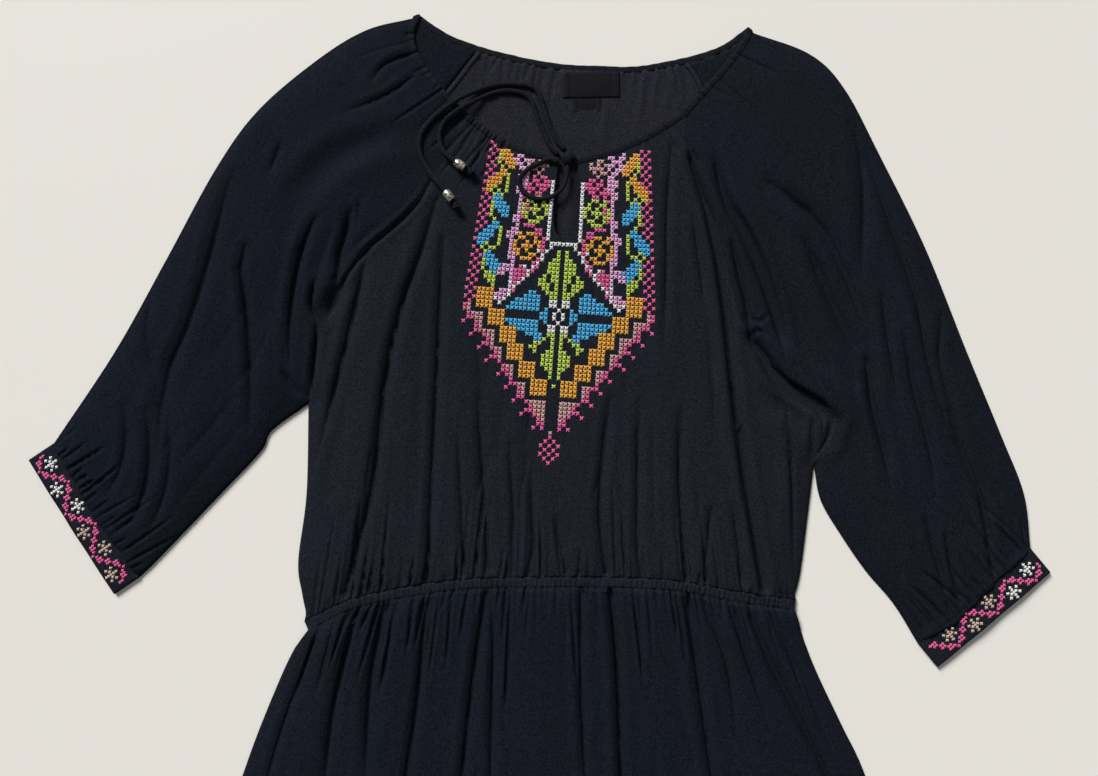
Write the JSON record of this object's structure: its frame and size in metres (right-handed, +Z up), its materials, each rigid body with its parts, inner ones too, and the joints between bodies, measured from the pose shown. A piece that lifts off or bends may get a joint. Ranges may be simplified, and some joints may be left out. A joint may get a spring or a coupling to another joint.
{
  "type": "peasant tunic",
  "caption": "Soft black peasant tunic laid flat: keyhole neck with beaded ties, gathered raglan sleeves in cuffs, elastic waist and a flared skirt.",
  "frame": {"origin": "on the surface that the tunic lies on, under the middle of its box", "axes": "+Z up out of the surface, +Y from the hem towards the neck, +X towards the sleeve on the right as seen from above"},
  "size_m": [0.9061, 0.8032, 0.0152],
  "materials": {
    "cloth": "soft washed rayon, matt with a faint sheen",
    "label_satin": "woven satin, blank",
    "bead_metal": "worn silver plating"
  },
  "bodies": {
    "root": {"front_bodice": "cloth", "back_bodice": "cloth", "front_skirt": "cloth", "back_skirt": "cloth", "sleeve_left": "cloth", "sleeve_right": "cloth", "cuff_left": "cloth", "cuff_right": "cloth", "neck_binding": "cloth", "waist_casing_front": "cloth", "waist_casing_back": "cloth", "neck_label": "label_satin", "size_tab": "label_satin", "tie_knot": "cloth", "tie_loop": "cloth", "tie_tail_left": "cloth", "tie_tail_right": "cloth", "bead_left": "bead_metal", "bead_right": "bead_metal", "end_knot_left": "cloth", "end_knot_right": "cloth"}
  },
  "joints": []
}
